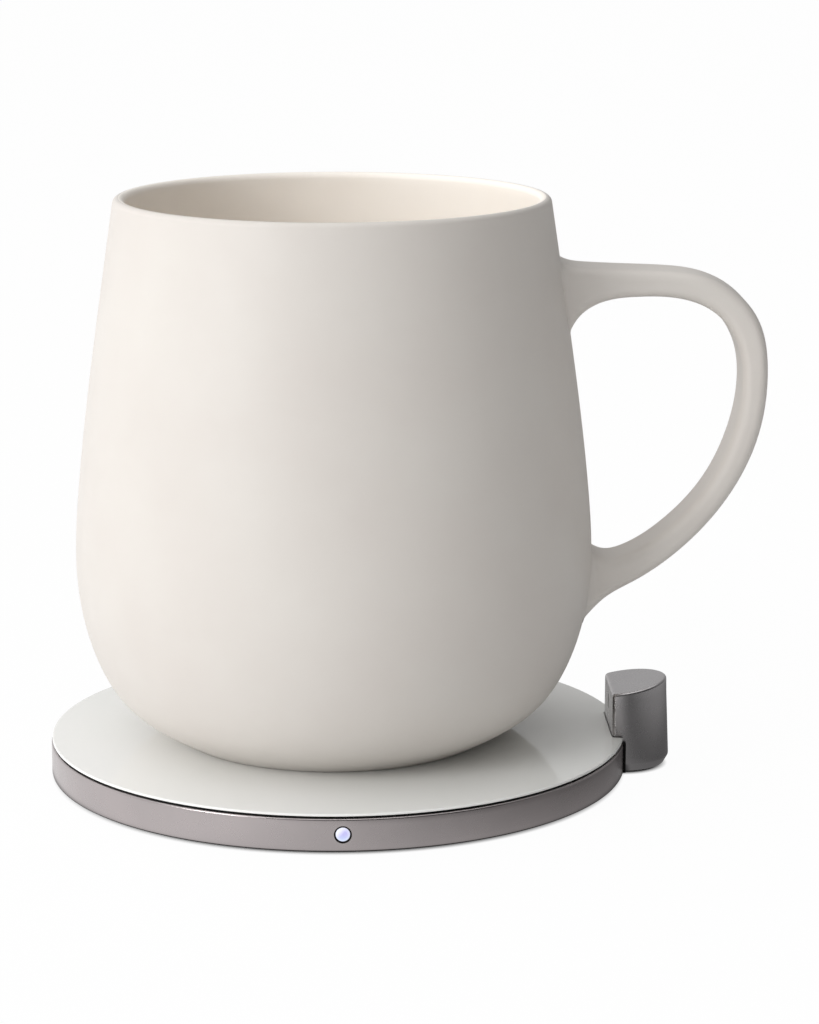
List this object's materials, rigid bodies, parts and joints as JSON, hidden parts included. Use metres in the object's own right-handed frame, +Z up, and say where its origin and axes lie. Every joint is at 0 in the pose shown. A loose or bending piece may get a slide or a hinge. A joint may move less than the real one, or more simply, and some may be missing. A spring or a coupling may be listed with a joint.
{
  "type": "electric mug warmer",
  "caption": "Thin round induction warming plate with a glass top and a low sensor post at its edge, and its matching ceramic mug with a strap handle.",
  "frame": {"origin": "centre of the plate's underside, on the table", "axes": "+Z up; +X from the plate's centre towards the sensor post, the longest extent; -Y towards the indicator light, +Y towards the power inlet"},
  "size_m": [0.1235, 0.1001, 0.1001],
  "materials": {
    "rim_metal": "satin, taupe grey anodised",
    "plate_glass": "gloss, opaque white backing",
    "black_seal": "matt black silicone",
    "cover_plastic": "fine matt grain",
    "foot_silicone": "matt grey silicone",
    "screw_steel": "zinc plated",
    "carrier_plastic": "glass filled, matt black",
    "ferrite": "sintered, matt dark grey",
    "copper_winding": "lacquered",
    "insulation": "pale mica sheet",
    "sensor_glass": "glass bead",
    "boot_silicone": "white silicone",
    "circuit_board": "green solder mask",
    "chip_black": "moulded epoxy",
    "capacitor_case": "moulded case",
    "led_package": "white package",
    "lens_clear": "frosted, lit from inside",
    "post_metal": "satin, taupe grey anodised",
    "window_dark": "infrared window, gloss",
    "inlet_steel": "nickel plated",
    "tongue_plastic": "moulded black",
    "link_film": "amber film",
    "mug_ceramic": "satin off-white glaze",
    "film_metal": "fired metal film",
    "film_glaze": "off-white silicone disc"
  },
  "bodies": {
    "base": {"rim_housing": "rim_metal", "glass_top": "plate_glass", "glass_gasket": "black_seal", "base_cover": "cover_plastic", "foot_pad": "foot_silicone", "cover_screw_1": "screw_steel", "cover_screw_2": "screw_steel", "cover_screw_3": "screw_steel", "coil_carrier": "carrier_plastic", "ferrite_disc": "ferrite", "induction_coil": "copper_winding", "insulation_sheet": "insulation", "temperature_sensor": "sensor_glass", "sensor_boot": "boot_silicone", "main_board": "circuit_board", "board_screw_1": "screw_steel", "board_screw_2": "screw_steel", "board_screw_3": "screw_steel", "controller_chip": "chip_black", "power_switch_1": "chip_black", "power_switch_2": "chip_black", "resonant_capacitor_1": "capacitor_case", "resonant_capacitor_2": "capacitor_case", "resonant_capacitor_3": "capacitor_case", "filter_inductor": "chip_black", "indicator_led": "led_package", "indicator_lens": "lens_clear", "lens_seal": "black_seal", "post_housing": "post_metal", "post_base": "cover_plastic", "post_foot": "foot_silicone", "post_screw_1": "screw_steel", "post_screw_2": "screw_steel", "inlet_shell": "inlet_steel", "inlet_tongue": "tongue_plastic", "sensor_board": "circuit_board", "mug_sensor": "chip_black", "sensor_window": "window_dark", "board_link": "link_film"},
    "mug": {"mug": "mug_ceramic", "heating_film": "film_metal", "film_cover": "film_glaze"}
  },
  "joints": [
    {"name": "mug_lift", "type": "slide", "parent": "base", "child": "mug", "axis": [0, 0, 1], "range_m": [0, 0.06]}
  ]
}
